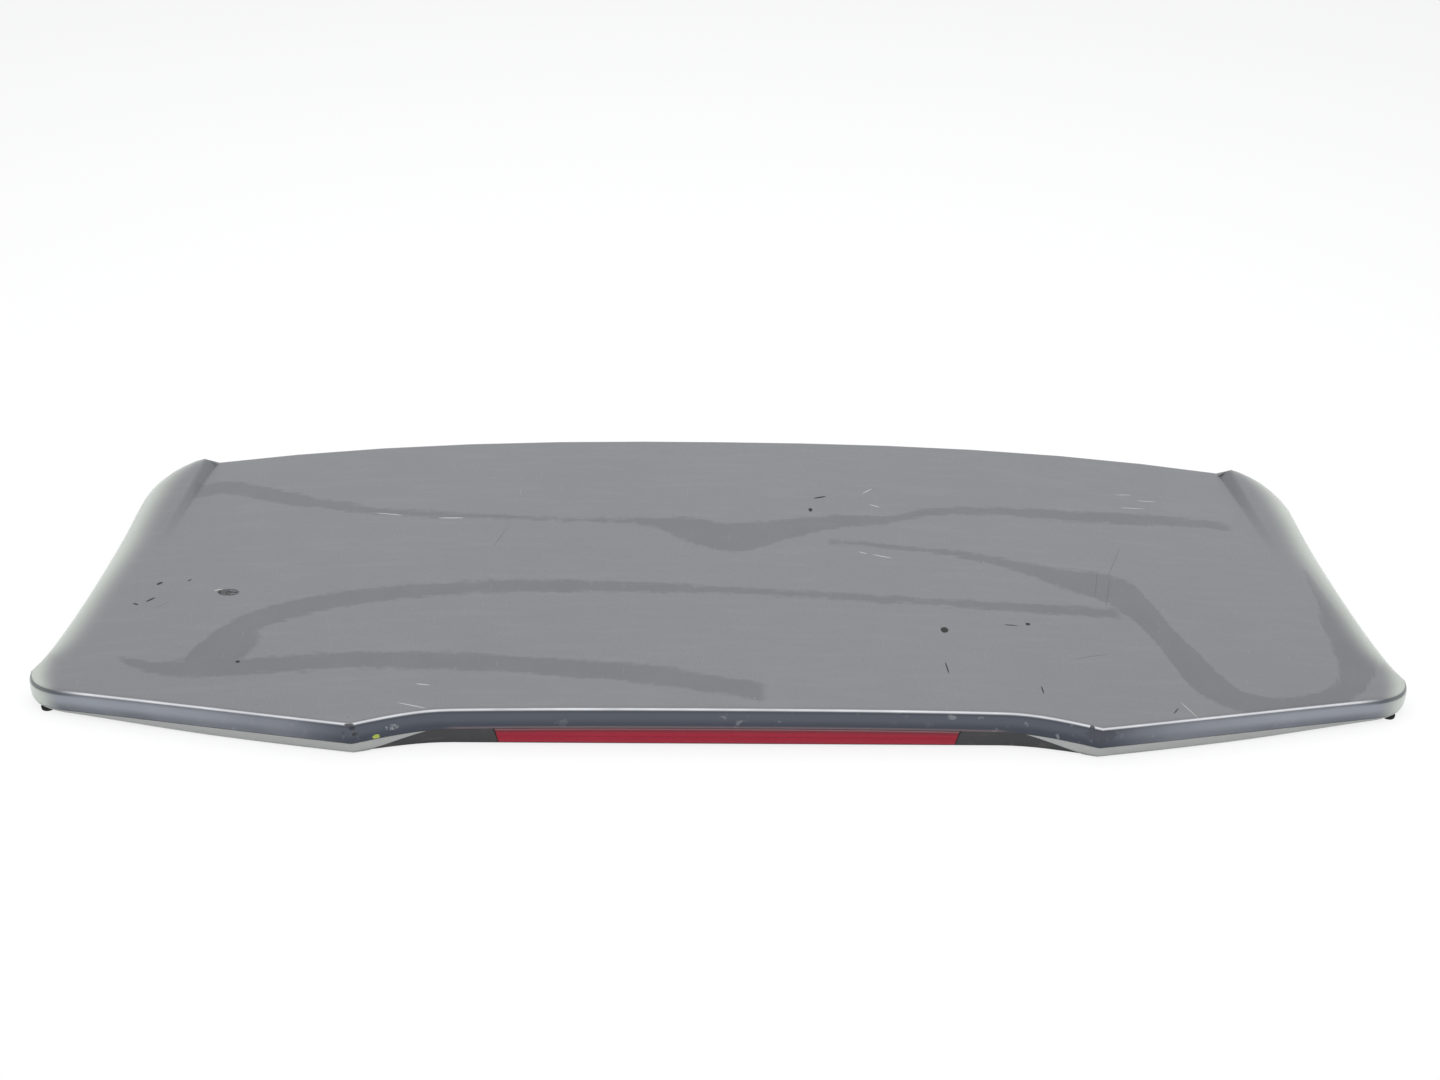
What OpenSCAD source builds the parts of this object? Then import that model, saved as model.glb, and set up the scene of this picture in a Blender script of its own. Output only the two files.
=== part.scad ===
// Rear roof spoiler of a car, lying on its lobes and on the ends of its mounting studs.
// X runs across the car, Y towards its front and Z up. The origin is under the middle.
// Inside the modules, v is the distance forward of the line through the lobe tips.

/* [Overall size] */
// Width across the two rear corners
span = 1252; // [1212:4:1292]
// Depth from the lobe tips to the front edge
depth = 342; // [330:1:356]
// Height of the middle of the front edge above the ground
front_h = 119; // [113:1:125]
// Height of the middle plane's top line where it would reach the lobe line
tail_h = 38; // [37:0.5:41]

/* [Plan outline] */
// Half width of the straight floor of the notch
notch_half = 241; // [232:1:250]
// How far the notch floor lies forward of the lobe tips
notch_depth = 13.5; // [11.5:0.5:16.5]
// Distance of each lobe tip from the middle plane
tip_x = 327; // [318:1:338]
// Distance forward at which the rear corner is widest
corner_v = 80; // [76:1:86]
// Half width of the front edge, up to the inner side of the ears
front_half = 512; // [504:1:518]
// How far the flank has drawn in where the ear begins
flank_tuck = 46; // [42:1:52]
// How far behind the front edge the ears begin
ear_back = 57; // [50:1:64]
// Height over which the ends of the notch slant inwards
slant_h = 20; // [16:1:26]
// How far the ends of the notch slant inwards over that height
slant_run = 69; // [62:1:76]

/* [Upper skin] */
// Wall of the upper skin
skin_t = 3; // [2.6:0.1:3.2]
// Height of the glossy band below the trailing crease
band_h = 21; // [19:0.5:22]
// Width of the rounding at the trailing crease
crease_w = 3.6; // [3.2:0.1:4.5]
// Width of the rounded shoulder on each flank
shoulder_w = 42; // [38:1:46]
// Height of the step beside each ear
ear_h = 9; // [6:0.5:11]
// Length over which that step fades out towards the rear
ear_run = 118; // [100:1:130]
// How far the step's foot moves outwards for each millimetre towards the rear
ear_slant = 0.25; // [0.2:0.01:0.3]
// Height of the wall along the front edge
front_wall_h = 9; // [8:0.5:11]
// How far the top drops from the middle to the full width, on the line of the front edge
crown_front = 51; // [46:1:56]
// The same drop on the line of the trailing edge
crown_tail = 24; // [20:0.5:27]
// Rise of the top above a straight line from the trailing edge to the front edge
camber = 3; // [1:0.5:5]

/* [Lower skin] */
// Wall of the lower skin
under_t = 2.5; // [2:0.1:3]
// Height of the groove between the two skins
groove_h = 1.5; // [1:0.1:2]
// How far the lower lip lies inside the band's face
lip_inset = 1; // [0.5:0.1:1.5]
// Width of the flat land along the lower edge
land_w = 9; // [7:0.5:10]
// Height of the lip below the groove on the flanks and the front
lip_h = 4; // [3:0.5:5]
// Distance between the top and the underside panel at the trailing edge
hollow_tail = 42; // [38:1:44]
// The same distance at the front edge
hollow_front = 13; // [12:0.5:15]

/* [Mounting] */
// Half distance between the two inner studs
inner_stud_x = 165; // [150:1:180]
// Half distance between the two outer studs
outer_stud_x = 430; // [410:1:440]
// Distance of the stud row forward of the lobe line
stud_v = 222; // [216:1:230]
// Diameter of the stud's thread
stud_d = 6; // [5:1:8]
// How much thicker the stud's plain neck is than its thread
neck_grow = 1; // [0.6:0.1:1.6]
// Height of the pads' lower faces above the ground
pad_z = 24; // [20:1:28]
// Outer diameter of each stud tower
tower_d = 36; // [34:1:40]
// Wall of a tower and thickness of its floor
tower_t = 3; // [2.5:0.1:3.5]
// Width of the square head of a stud
stud_head_w = 20; // [18:0.5:20]
// Thickness of the head of a stud
stud_head_t = 2.5; // [2:0.1:3]
// Thickness of the foam ring under each tower
stud_seal_t = 5; // [4:0.5:8]
// Half distance between the two locating pegs
peg_x = 300; // [280:1:315]
// Diameter of a locating peg
peg_d = 10; // [8:0.5:12]
// Length of a locating peg below its collar
peg_l = 28; // [22:1:30]
// Half distance between the two inner push clips
inner_clip_x = 120; // [100:1:140]
// Half distance between the two outer push clips
outer_clip_x = 360; // [340:1:380]
// Distance of the push clips behind the front edge
clip_back = 42; // [38:1:48]
// Length of a push clip below its flange
clip_l = 15; // [12:0.5:18]
// Diameter of the hole that a push clip sits in
clip_hole_d = 8; // [7:0.5:9]
// Distance of the wiring port behind the stud row
port_back = 66; // [60:1:72]
// Diameter of the wiring port
port_d = 26; // [22:1:30]
// Height of the stiffening ribs under the panel
rib_h = 4; // [2:0.5:6]
// Thickness of the stiffening ribs
rib_t = 2; // [1.5:0.1:2.5]

/* [Stop lamp] */
// Half width of the lens along its upper edge
lens_half = 206; // [198:1:210]
// How much the lens narrows to its lower edge on each side
lens_slant = 4; // [2:0.5:6]
// Margin between the lens and the groove below the band
lens_margin = 0.5; // [0.3:0.1:1]
// Width of the flange round the lens
flange_w = 4; // [3:0.5:5]
// Wall of the lens
lens_t = 2.2; // [1.8:0.1:2.6]
// Depth of the lens along the car
lens_depth = 9; // [8:0.5:10]
// Depth of the lamp housing behind the lens
housing_depth = 29; // [27:1:31]
// Wall of the lamp housing
housing_t = 1.8; // [1.5:0.1:2]
// Thickness of the shroud's walls
shroud_t = 2.5; // [2:0.1:2.8]
// Depth of the shroud's tray from the notch floor
tray_depth = 58; // [56:1:62]
// Number of light-emitting diodes
led_count = 16; // [12:2:20]
// Diameter of each reflector cup at its mouth
cup_d = 9.5; // [8:0.5:10]
// Diameter of the shank of the lamp screws
lamp_screw_d = 3; // [2.5:0.1:3.5]
// Diameter of the shank of the shroud screws
shroud_screw_d = 4; // [3.5:0.1:4.5]
// Depth of the screw holes in the bosses above the shroud's tabs
boss_bore = 9; // [8:0.5:11]

/* [Hidden] */

// Clearance between pieces that seat on each other
seat = 0.2;
// Clearance round screws, studs and plugs
fit = 0.3;
$fn = 40;

half_span = span / 2;
body_grey = [0.36, 0.37, 0.41];
matte_black = [0.13, 0.13, 0.14];
charcoal = [0.24, 0.24, 0.25];
foam_grey = [0.2, 0.2, 0.21];
steel = [0.72, 0.73, 0.75];

function smooth(t) = let (c = max(0, min(1, t))) c * c * (3 - 2 * c);
function mix(a, b, t) = a + (b - a) * t;
function bez(p, t) = (1 - t)^3 * p[0] + 3 * (1 - t)^2 * t * p[1] + 3 * (1 - t) * t^2 * p[2] + t^3 * p[3];

// Height of the top surface, crowned across the car and cambered along it
crown_power = 2.5;
function top_z(x, v) =
    mix(tail_h, front_h, v / depth) + camber * sin(180 * max(0, min(1, v / depth)))
    - mix(crown_tail, crown_front, v / depth) * (abs(x) / half_span)^crown_power;
// Height of the lower face of the underside panel
under_floor = 4;
function under_z(x, v) = max(under_floor, top_z(x, v) - mix(hollow_tail, hollow_front, v / depth));

// Foot of the step beside the right ear, and the step's height and width there
step_lead = 5;
function step_x(v) = front_half - step_lead + (depth - v) * ear_slant;
function step_h(v) = ear_h * smooth(1 - (depth - v) / ear_run);
function step_w(v) = 7 + step_h(v) / 4;

// Stations of the right half of the outline, each a cubic between named corners:
// [x, v, height of the upper skin's wall, shoulder width, how far the shoulder's crest follows the
// step beside the ear, width of the underside's rim]
rim_w = 34;
lobe_in = 34;
lobe_v = 50;
rear_mid = [0, notch_depth, band_h, crease_w, 0, rim_w];
notch_end = [notch_half, notch_depth, band_h, crease_w, 0, rim_w];
tip = [tip_x, 0, band_h, crease_w, 0, rim_w];
lobe_end = [half_span - lobe_in, lobe_v, band_h - 1, crease_w + 1, 0, 22];
widest = [half_span, corner_v, band_h - 3, 9, 0, 20];
flank_end = [half_span - flank_tuck, depth - ear_back, 31, shoulder_w, 1, 30];
ear_end = [front_half + 10, depth - 2, front_wall_h + ear_h, crease_w + 4, 1, 20];
front_start = [front_half - step_lead - 2, depth - 1, front_wall_h, crease_w, 0, 20];
front_mid = [0, depth, front_wall_h, crease_w, 0, 20];
half_pieces = [
    [4, rear_mid, rear_mid + [80, 0, 0, 0, 0, 0], notch_end - [80, 0, 0, 0, 0, 0], notch_end],
    [7, notch_end, notch_end + [26, 0, 0, 0, 0, 0], tip - [38, -9, 0, 0, 0, 0], tip],
    [13, tip, tip + [90, 14, 0, 0, 0, 0], lobe_end - [80, 18, 0, 0, 0, 0], lobe_end],
    [8, lobe_end, lobe_end + [18, 5, 0, 1, 0, 0], widest - [1, 18, 0, 2, 0, 0], widest],
    [10, widest, widest + [-17, 34, 3, 14, 0, 4], flank_end - [-12, 80, 4, 2, 0.6, 0], flank_end],
    [7, flank_end, flank_end + [-3, 28, 0, -6, 0, -2], ear_end - [-34, 2, -4, -14, 0, 0], ear_end],
    [1, ear_end, ear_end, front_start, front_start],
    [6, front_start, front_start - [150, 0, 0, 0, 0, 0], front_mid + [150, 0, 0, 0, 0, 0], front_mid],
];
half_outline = concat(
    [for (p = half_pieces) for (i = [0:p[0] - 1]) bez([p[1], p[2], p[3], p[4]], i / p[0])],
    [front_mid]);
half_n = len(half_outline) - 1;
outline_n = 2 * half_n;
// The panels are laid from station to station around this one, in the middle of the rear corner
quarter_n = half_n / 2;
outline = concat(half_outline,
    [for (i = [half_n - 1:-1:1]) [for (c = [0:5]) c == 0 ? -half_outline[i][c] : half_outline[i][c]]]);

function wrap(i) = (i + outline_n) % outline_n;
function plan(i) = [outline[wrap(i)][0], outline[wrap(i)][1]];
function inward(i) = let (d = plan(i + 1) - plan(i - 1)) [-d[1], d[0]] / norm(d);
function at(p, z) = [p[0], p[1], z];
// The shoulder's crest and the foot of the step inside it, as places in plan
ear_round = 6;
foot_w = 3;
function crest(i) =
    let (s = outline[wrap(i)], p = plan(i), back = smooth(1 - (depth - p[1]) / (5 * ear_round)),
        v = p[1] - ear_round * back, x = min(step_x(v) + step_w(v), abs(p[0]) - 0.75 * ear_round))
    mix(p + inward(i) * s[3], [sign(p[0]) * x, v], s[4]);
function crest_foot(i) =
    let (q = crest(i), foot = q + inward(i) * foot_w, s = outline[wrap(i)])
    mix(foot, [sign(q[0]) * step_x(q[1]), q[1]], s[4]);
// Height of the shoulder over a place, of the upper skin's lower edge, of the top of its plain wall
// and of the lower lip at a station
function shoulder_z(i, p) = top_z(p[0], p[1]) + step_h(p[1]) * outline[wrap(i)][4];
function edge_z(i) = top_z(plan(i)[0], plan(i)[1]) - outline[i][2];
wall_share = 0.3;
function wall_z(i, t) = mix(edge_z(i), shoulder_z(i, crest(i)) - t, wall_share);
function lip_z(i) = max(0, edge_z(i) - lip_h) * smooth((plan(i)[1] - 20) / 50);

// Section of the upper skin at a station, from its lower edge over the shoulder and the brow of the
// step to the step's foot.
// An inner section is the same one moved in by the wall t.
shoulder_steps = 6;
brow_share = 0.45;
section_n = shoulder_steps + 4;
function skin_section(i, t) =
    let (p = plan(i) + inward(i) * t, q = crest(i), lead = mix(q, p, 0.55), foot = crest_foot(i),
        brow = mix(q, foot, brow_share), low = top_z(brow[0], brow[1]), high = shoulder_z(i, q) - t,
        knee = mix(edge_z(i), high, 0.85),
        curve = [at(p, wall_z(i, t)), at(p, knee), at(lead, shoulder_z(i, lead) - t), at(q, high)])
    concat([at(p, edge_z(i))], [for (k = [0:shoulder_steps]) bez(curve, k / shoulder_steps)],
        [at(brow, mix(shoulder_z(i, brow), low, brow_share^1.5) - t),
            at(foot, top_z(foot[0], foot[1]) - t)]);

// The lower skin's tongue stops this far below the top of the upper skin's plain wall
tongue_drop = 1;
// Section of the lower skin's outside: tongue, groove, lip, land and the rise to the panel
function lip_section(i) =
    let (n = inward(i), low = edge_z(i), tongue = wall_z(i, 0) - tongue_drop,
        deep = plan(i) + n * (skin_t + seat), face = plan(i) + n * lip_inset,
        draft = plan(i) + n * (lip_inset + 1.5), land = draft + n * land_w,
        foot = plan(i) + n * outline[i][5])
    [at(deep, tongue), at(deep, low - groove_h), at(face, low - groove_h), at(face, lip_z(i) + 1.5),
        at(draft, lip_z(i)), at(land, lip_z(i)), at(foot, under_z(foot[0], foot[1]))];
// Section of its inside
function tray_section(i) =
    let (n = inward(i), tongue = wall_z(i, 0) - tongue_drop,
        wall = plan(i) + n * (skin_t + seat + under_t), land = plan(i) + n * (lip_inset + 1.5 + land_w),
        foot = plan(i) + n * outline[i][5])
    [at(wall, tongue), at(wall, lip_z(i) + under_t), at(land, lip_z(i) + under_t),
        at(foot, under_z(foot[0], foot[1]) + under_t)];

// Faces of one side of a clamshell: rows of the sections, then a panel between the last rows.
// first is the index of the side's first point, rows the length of a section.
panel_steps = 8;
function panel_index(first, rows, i, k) =
    abs(i) == quarter_n || k == 0 ? first + wrap(i) * rows + rows - 1
    : k == panel_steps ? first + wrap(half_n - i) * rows + rows - 1
    : first + outline_n * rows + (i + quarter_n - 1) * (panel_steps - 1) + k - 1;
function side_faces(first, rows) = [for (i = [0:outline_n - 1], k = [0:rows - 2])
    let (a = first + i * rows + k, b = first + wrap(i + 1) * rows + k)
    each [[a, a + 1, b + 1], [a, b + 1, b]]];
function panel_faces(first, rows) = [for (i = [-quarter_n:quarter_n - 1], k = [0:panel_steps - 1])
    let (a = panel_index(first, rows, i, k), b = panel_index(first, rows, i, k + 1),
        c = panel_index(first, rows, i + 1, k + 1), d = panel_index(first, rows, i + 1, k))
    each [if (a != b) [a, b, c], if (c != d) [a, c, d]]];
function flipped(faces) = [for (f = faces) [f[2], f[1], f[0]]];
function rim_faces(rows_a, first_b, rows_b) = [for (i = [0:outline_n - 1])
    let (a = i * rows_a, b = wrap(i + 1) * rows_a,
        c = first_b + i * rows_b, d = first_b + wrap(i + 1) * rows_b)
    each [[a, b, d], [a, d, c]]];

upper_skin_outer = [for (i = [0:outline_n - 1]) skin_section(i, 0)];
upper_skin_inner = [for (i = [0:outline_n - 1]) skin_section(i, skin_t)];
lower_skin_outer = [for (i = [0:outline_n - 1]) lip_section(i)];
lower_skin_inner = [for (i = [0:outline_n - 1]) tray_section(i)];
// Inner points of a panel, between the section ends of opposite stations
function panel_points(sections, lift, top) = [
    for (i = [-quarter_n + 1:quarter_n - 1], k = [1:panel_steps - 1])
    let (end = len(sections[0]) - 1,
        p = mix(sections[wrap(i)][end], sections[wrap(half_n - i)][end], k / panel_steps))
    [p[0], p[1], (top ? top_z(p[0], p[1]) : under_z(p[0], p[1])) + lift]];

module upper_skin() {
    outer = concat([for (s = upper_skin_outer) each s], panel_points(upper_skin_outer, 0, true));
    inner = concat([for (s = upper_skin_inner) each s], panel_points(upper_skin_inner, -skin_t, true));
    first = len(outer);
    color(body_grey) translate([0, -depth / 2, 0])
        polyhedron(concat(outer, inner), concat(
            side_faces(0, section_n), panel_faces(0, section_n),
            flipped(side_faces(first, section_n)), flipped(panel_faces(first, section_n)),
            rim_faces(section_n, first, section_n)));
}

module lower_shell() {
    outer = concat([for (s = lower_skin_outer) each s], panel_points(lower_skin_outer, 0, false));
    inner = concat([for (s = lower_skin_inner) each s], panel_points(lower_skin_inner, under_t, false));
    first = len(outer);
    rows_a = len(lower_skin_outer[0]);
    rows_b = len(lower_skin_inner[0]);
    polyhedron(concat(outer, inner), concat(
        flipped(side_faces(0, rows_a)), flipped(panel_faces(0, rows_a)),
        side_faces(first, rows_b), panel_faces(first, rows_b),
        flipped(rim_faces(rows_a, first, rows_b))));
}

// Outline of the lamp's notch seen along the car: where the painted lip gives way to the shroud
notch_low = tip_x - 9;
notch_high = notch_low - slant_run;
tray_v = notch_depth + tray_depth;
shroud_gap = 0.4;
module notch_prism(grow, back) {
    translate([0, back, 0]) rotate([90, 0, 0]) linear_extrude(back + 20)
        polygon([[-notch_low - grow, -1], [notch_low + grow, -1], [notch_low + grow, 0],
            [notch_high + grow, slant_h], [notch_high + grow, 3 * slant_h],
            [-notch_high - grow, 3 * slant_h], [-notch_high - grow, slant_h], [-notch_low - grow, 0]]);
}

// Places of the mounting points
stud_spots = [-outer_stud_x, -inner_stud_x, inner_stud_x, outer_stud_x];
clip_v = depth - clip_back;
clip_spots = [-outer_clip_x, -inner_clip_x, inner_clip_x, outer_clip_x];
peg_ahead = 34;
peg_v = stud_v + peg_ahead;
collar_d = peg_d + 8;
clip_pad_d = 22;
function panel_top(x, v) = under_z(x, v) + under_t;
// A flat pad under the sloping panel clears it at the pad's own lowest edge
function pad_level(x, v, d) = min(under_z(x, v - d / 2), under_z(abs(x) + d / 2, v - d / 2)) - 0.8;
function pad_top(x, v, d) = panel_top(abs(x) - d / 2, v + d / 2) + 0.5;
function clip_level(x) = pad_level(x, clip_v, clip_pad_d);

// Screw points that hold the shroud to the lower skin
tab_spots = [-215, -80, 80, 215];
tab_w = 16;
boss_v = tray_v + 14;
boss_d = 12;
function boss_level(x) = pad_level(x, tray_v + shroud_gap, tab_w);

// Opening for the wiring, in a pad of its own
port_x = -60;
port_v = stud_v - port_back;
port_pad_d = port_d + 14;
port_level = pad_level(port_x, port_v, port_pad_d);

module pillar(x, v, low, high, d) { translate([x, v, low]) cylinder(h = high - low, d = d); }

// Stiffening ribs under the panel, run between the pads: [x, from, to] and [v, from, to]
stud_neck_d = stud_d + neck_grow;
long_ribs = [[0, 104, 310], [110, 108, 276], [230, 108, 310], [370, 70, 276], [500, 70, 250]];
cross_ribs = [[122, 96, 540], [190, 0, 540], [271, 0, 516]];
rib_steps = 6;
module rib(points) {
    n = len(points) - 1;
    polygon(concat([for (p = points) [p[0], p[1] - rib_h]],
        [for (k = [n:-1:0]) [points[k][0], points[k][1] + under_t / 2]]));
}
module rib_along(x, from, to) {
    translate([x - rib_t / 2, 0, 0]) rotate([90, 0, 90]) linear_extrude(rib_t)
        rib([for (k = [0:rib_steps]) let (v = mix(from, to, k / rib_steps)) [v, under_z(x, v)]]);
}
module rib_across(v, from, to) {
    translate([0, v + rib_t / 2, 0]) rotate([90, 0, 0]) linear_extrude(rib_t)
        rib([for (k = [0:rib_steps]) let (x = mix(from, to, k / rib_steps)) [x, under_z(x, v)]]);
}

module lower_skin() {
    color(body_grey) translate([0, -depth / 2, 0]) difference() {
        union() {
            lower_shell();
            for (x = stud_spots) pillar(x, stud_v, pad_z, panel_top(x, stud_v) + 2, tower_d);
            for (x = [-peg_x, peg_x])
                pillar(x, peg_v, pad_level(x, peg_v, collar_d) - 4, panel_top(x, peg_v) + 2, collar_d);
            for (x = [-peg_x, peg_x])
                pillar(x, peg_v, pad_level(x, peg_v, collar_d) - peg_l, panel_top(x, peg_v) + 1, peg_d);
            for (x = clip_spots)
                pillar(x, clip_v, clip_level(x), pad_top(x, clip_v, clip_pad_d), clip_pad_d);
            for (x = tab_spots) pillar(x, boss_v, boss_level(x), panel_top(x, boss_v) + 6, boss_d);
            pillar(port_x, port_v, port_level, pad_top(port_x, port_v, port_pad_d), port_pad_d);
            for (r = long_ribs, side = r[0] > 0 ? [-1, 1] : [1]) rib_along(side * r[0], r[1], r[2]);
            for (r = cross_ribs) {
                rib_across(r[0], r[1], r[2]);
                rib_across(r[0], -r[2], -r[1]);
            }
        }
        notch_prism(shroud_gap, tray_v + shroud_gap);
        for (x = stud_spots) {
            pillar(x, stud_v, pad_z + tower_t, panel_top(x, stud_v) + 9, tower_d - 2 * tower_t);
            pillar(x, stud_v, pad_z - 1, pad_z + tower_t + 1, stud_neck_d + 2 * fit);
        }
        for (x = clip_spots) pillar(x, clip_v, clip_level(x) - 1, panel_top(x, clip_v) + 9, clip_hole_d);
        for (x = tab_spots)
            pillar(x, boss_v, boss_level(x) - 1, boss_level(x) + boss_bore, shroud_screw_d + 2 * fit);
        pillar(port_x, port_v, port_level - 1, panel_top(port_x, port_v) + 20, port_d);
    }
}

// The lamp hangs behind the notch floor. Its places are distances forward of that floor.
tray_floor = 0.3;
tray_top = tray_floor + 1.4;
aperture_low = tray_top + 2 * seat;
function aperture_top(x) = top_z(x, notch_depth) - band_h - groove_h - lens_margin;
wall_front = lip_inset + 1;
rail_front = skin_t + seat;
rail_back = rail_front + shroud_t;
rail_h = 6;
lens_front = wall_front - fit;
lens_back = lens_front + lens_depth;
flange_front = lens_back - lens_t;
housing_front = lens_back + seat;
housing_back = housing_front + housing_depth;
post_x = lens_half + 11;
post_ahead = 21;
post_v = notch_depth + post_ahead;
post_d = 8;
post_top = 12;
rear_post_x = 70;
rear_post_v = notch_depth + housing_back + 7;
post_spots = [[-post_x, post_v], [post_x, post_v], [-rear_post_x, rear_post_v], [rear_post_x, rear_post_v]];
ear_t = 2;
ear_d = 13;
socket_x = -120;
socket_w = 20;
socket_h = 14;
socket_low = 5;
socket_l = 12;

// Section of the shroud: rail behind the band, groove, face, floor and front wall
function shroud_front_z(i) = let (p = plan(i) + inward(i) * tray_depth) under_z(p[0], p[1]) + under_t;
function shroud_section(i) =
    let (n = inward(i), p = plan(i), low = edge_z(i) - groove_h, rail = edge_z(i) + rail_h)
    [at(p + n * rail_front, rail), at(p + n * rail_front, low), at(p + n * wall_front, low),
        at(p + n * wall_front, tray_floor + 1), at(p + n * (wall_front + 1), tray_floor),
        at(p + n * tray_depth, tray_floor), at(p + n * tray_depth, shroud_front_z(i)),
        at(p + n * (tray_depth - shroud_t), shroud_front_z(i)),
        at(p + n * (tray_depth - shroud_t), tray_top),
        at(p + n * (wall_front + shroud_t), tray_top), at(p + n * (wall_front + shroud_t), low - 1),
        at(p + n * rail_back, low + shroud_t), at(p + n * rail_back, rail)];
shroud_reach = 12;
module shroud_trough() {
    sections = [for (i = [-shroud_reach:shroud_reach]) shroud_section(wrap(i))];
    rows = len(sections[0]);
    last = len(sections) - 1;
    polyhedron([for (s = sections) each s], concat(
        [for (i = [0:last - 1], k = [0:rows - 1])
            let (a = i * rows + k, b = i * rows + (k + 1) % rows) each
                [[a, a + rows, b + rows], [a, b + rows, b]]],
        [[for (k = [0:rows - 1]) k], [for (k = [rows - 1:-1:0]) last * rows + k]]));
}

// Outline of the lens seen along the car, grown by a margin. Its top follows the band.
lens_steps = 12;
module lens_face(grow) {
    top = lens_half + grow;
    low = lens_half - lens_slant + grow;
    polygon(concat([[-low, aperture_low - grow], [low, aperture_low - grow]],
        [for (k = [0:lens_steps]) let (x = top * (1 - 2 * k / lens_steps)) [x, aperture_top(x) + grow]]));
}
// The same outline grown upwards and sideways only, from the height low
module flange_face(grow, low) {
    intersection() {
        lens_face(grow);
        translate([-span / 2, low]) square([span, front_h]);
    }
}
// A flat outline stood up across the car, from distance a to distance b behind the notch floor
module across(a, b) {
    translate([0, notch_depth + b, 0]) rotate([90, 0, 0]) linear_extrude(b - a) children();
}

module lamp_shroud() {
    color(charcoal) translate([0, -depth / 2, 0]) difference() {
        union() {
            intersection() {
                shroud_trough();
                notch_prism(0, tray_v + 1);
            }
            for (p = post_spots) pillar(p[0], p[1], tray_floor + 0.5, post_top, post_d);
            for (x = tab_spots) {
                translate([x - tab_w / 2, tray_v - 1, boss_level(x) - seat - shroud_t])
                    cube([tab_w, boss_v - tray_v + 1, shroud_t]);
                pillar(x, boss_v, boss_level(x) - seat - shroud_t, boss_level(x) - seat, tab_w);
            }
        }
        across(-5, flange_front) lens_face(seat);
        across(tray_depth - 2 * shroud_t, tray_depth + 1)
            translate([socket_x - socket_w / 2 - 3, socket_low - 2]) square([socket_w + 6, socket_h + 4]);
        for (p = post_spots) pillar(p[0], p[1], post_top - 8, post_top + 1, lamp_screw_d + 0.2);
        for (x = tab_spots) pillar(x, boss_v, 0, boss_level(x) + 1, shroud_screw_d + 2 * fit);
    }
}

module lamp_lens() {
    rib_d = 1.8;
    ribs = 4;
    low = aperture_low + lens_t;
    high = aperture_top(lens_half) - lens_t;
    color([0.7, 0.05, 0.12]) translate([0, -depth / 2, 0]) {
        difference() {
            union() {
                across(lens_front, lens_back) lens_face(0);
                across(flange_front, lens_back) flange_face(flange_w, aperture_low);
            }
            difference() {
                across(lens_front + lens_t, lens_back + 1) lens_face(-lens_t);
                for (z = [for (k = [1:ribs]) mix(low, high, (k - 0.5) / ribs)])
                    translate([-lens_half, notch_depth + lens_front + lens_t, z])
                        rotate([0, 90, 0]) cylinder(h = 2 * lens_half, d = rib_d);
            }
        }
    }
}

module lamp_gasket() {
    color(foam_grey) translate([0, -depth / 2, 0])
        across(rail_back + seat, flange_front - seat) difference() {
            flange_face(flange_w, aperture_low);
            lens_face(seat);
        }
}

// Positions of the diodes across the lamp and their height
led_pitch = 2 * (lens_half - 14) / (led_count - 1);
function led_x(k) = (k - (led_count - 1) / 2) * led_pitch;
housing_grow = flange_w - 1;
housing_low = aperture_low + seat;
led_z = (housing_low + aperture_top(lens_half)) / 2 + 1;
led_w = 3.5;
led_t = 1.5;
reflector_front = housing_front + 8;
board_front = reflector_front + 9;
board_t = 1.6;
board_back = board_front + board_t;
holder_pitch = 84;
function holder_x(k) = (k - 2) * holder_pitch;
pin_w = 1;
pin_gap = 6;

module housing_posts() {
    for (k = [0:4]) translate([holder_x(k) + led_pitch / 3, notch_depth + board_back + seat, led_z])
        rotate([-90, 0, 0]) cylinder(h = housing_back - board_back - 1, d = 6);
}
module pins(a, b, w) {
    for (side = [-1, 1]) across(a, b)
        translate([socket_x + side * pin_gap / 2, socket_low + socket_h / 2]) square(w, center = true);
}
module lamp_housing() {
    ear_low = post_top + seat;
    ear_l = 12;
    back_v = notch_depth + housing_back - 1;
    color(matte_black) translate([0, -depth / 2, 0]) difference() {
        union() {
            difference() {
                union() {
                    across(housing_front, housing_back) flange_face(housing_grow, housing_low);
                    for (p = post_spots) pillar(p[0], p[1], ear_low, ear_low + ear_t, ear_d);
                    for (side = [-1, 1]) {
                        translate([side > 0 ? post_x - ear_l : -post_x, post_v - ear_d / 2, ear_low])
                            cube([ear_l, ear_d, ear_t]);
                        translate([side * rear_post_x - ear_d / 2, back_v, ear_low])
                            cube([ear_d, rear_post_v - back_v, ear_t]);
                    }
                }
                across(housing_front - 1, housing_back - housing_t)
                    flange_face(housing_grow - housing_t, housing_low + housing_t);
            }
            housing_posts();
        }
        for (p = post_spots) pillar(p[0], p[1], post_top, post_top + 2 * ear_t, lamp_screw_d + 2 * fit);
        pins(board_back, housing_back + 1, 2 * pin_w);
    }
}

// What fills the housing's inside from distance a to distance b
module housing_fill(a, b) {
    across(a, b) flange_face(housing_grow - housing_t - seat, housing_low + housing_t + seat);
}
module lamp_reflector() {
    back = board_front - seat;
    color([0.85, 0.86, 0.88]) translate([0, -depth / 2, 0]) difference() {
        housing_fill(reflector_front, back);
        for (k = [0:led_count - 1])
            translate([led_x(k), notch_depth + reflector_front - 0.1, led_z]) rotate([-90, 0, 0])
                cylinder(h = back - reflector_front + 0.2, d1 = cup_d, d2 = led_w * 1.7);
    }
}

module lamp_board() {
    color([0.1, 0.35, 0.2]) translate([0, -depth / 2, 0]) difference() {
        housing_fill(board_front, board_back);
        pins(board_front - 1, board_back + 1, 2 * pin_w);
    }
}

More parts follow.
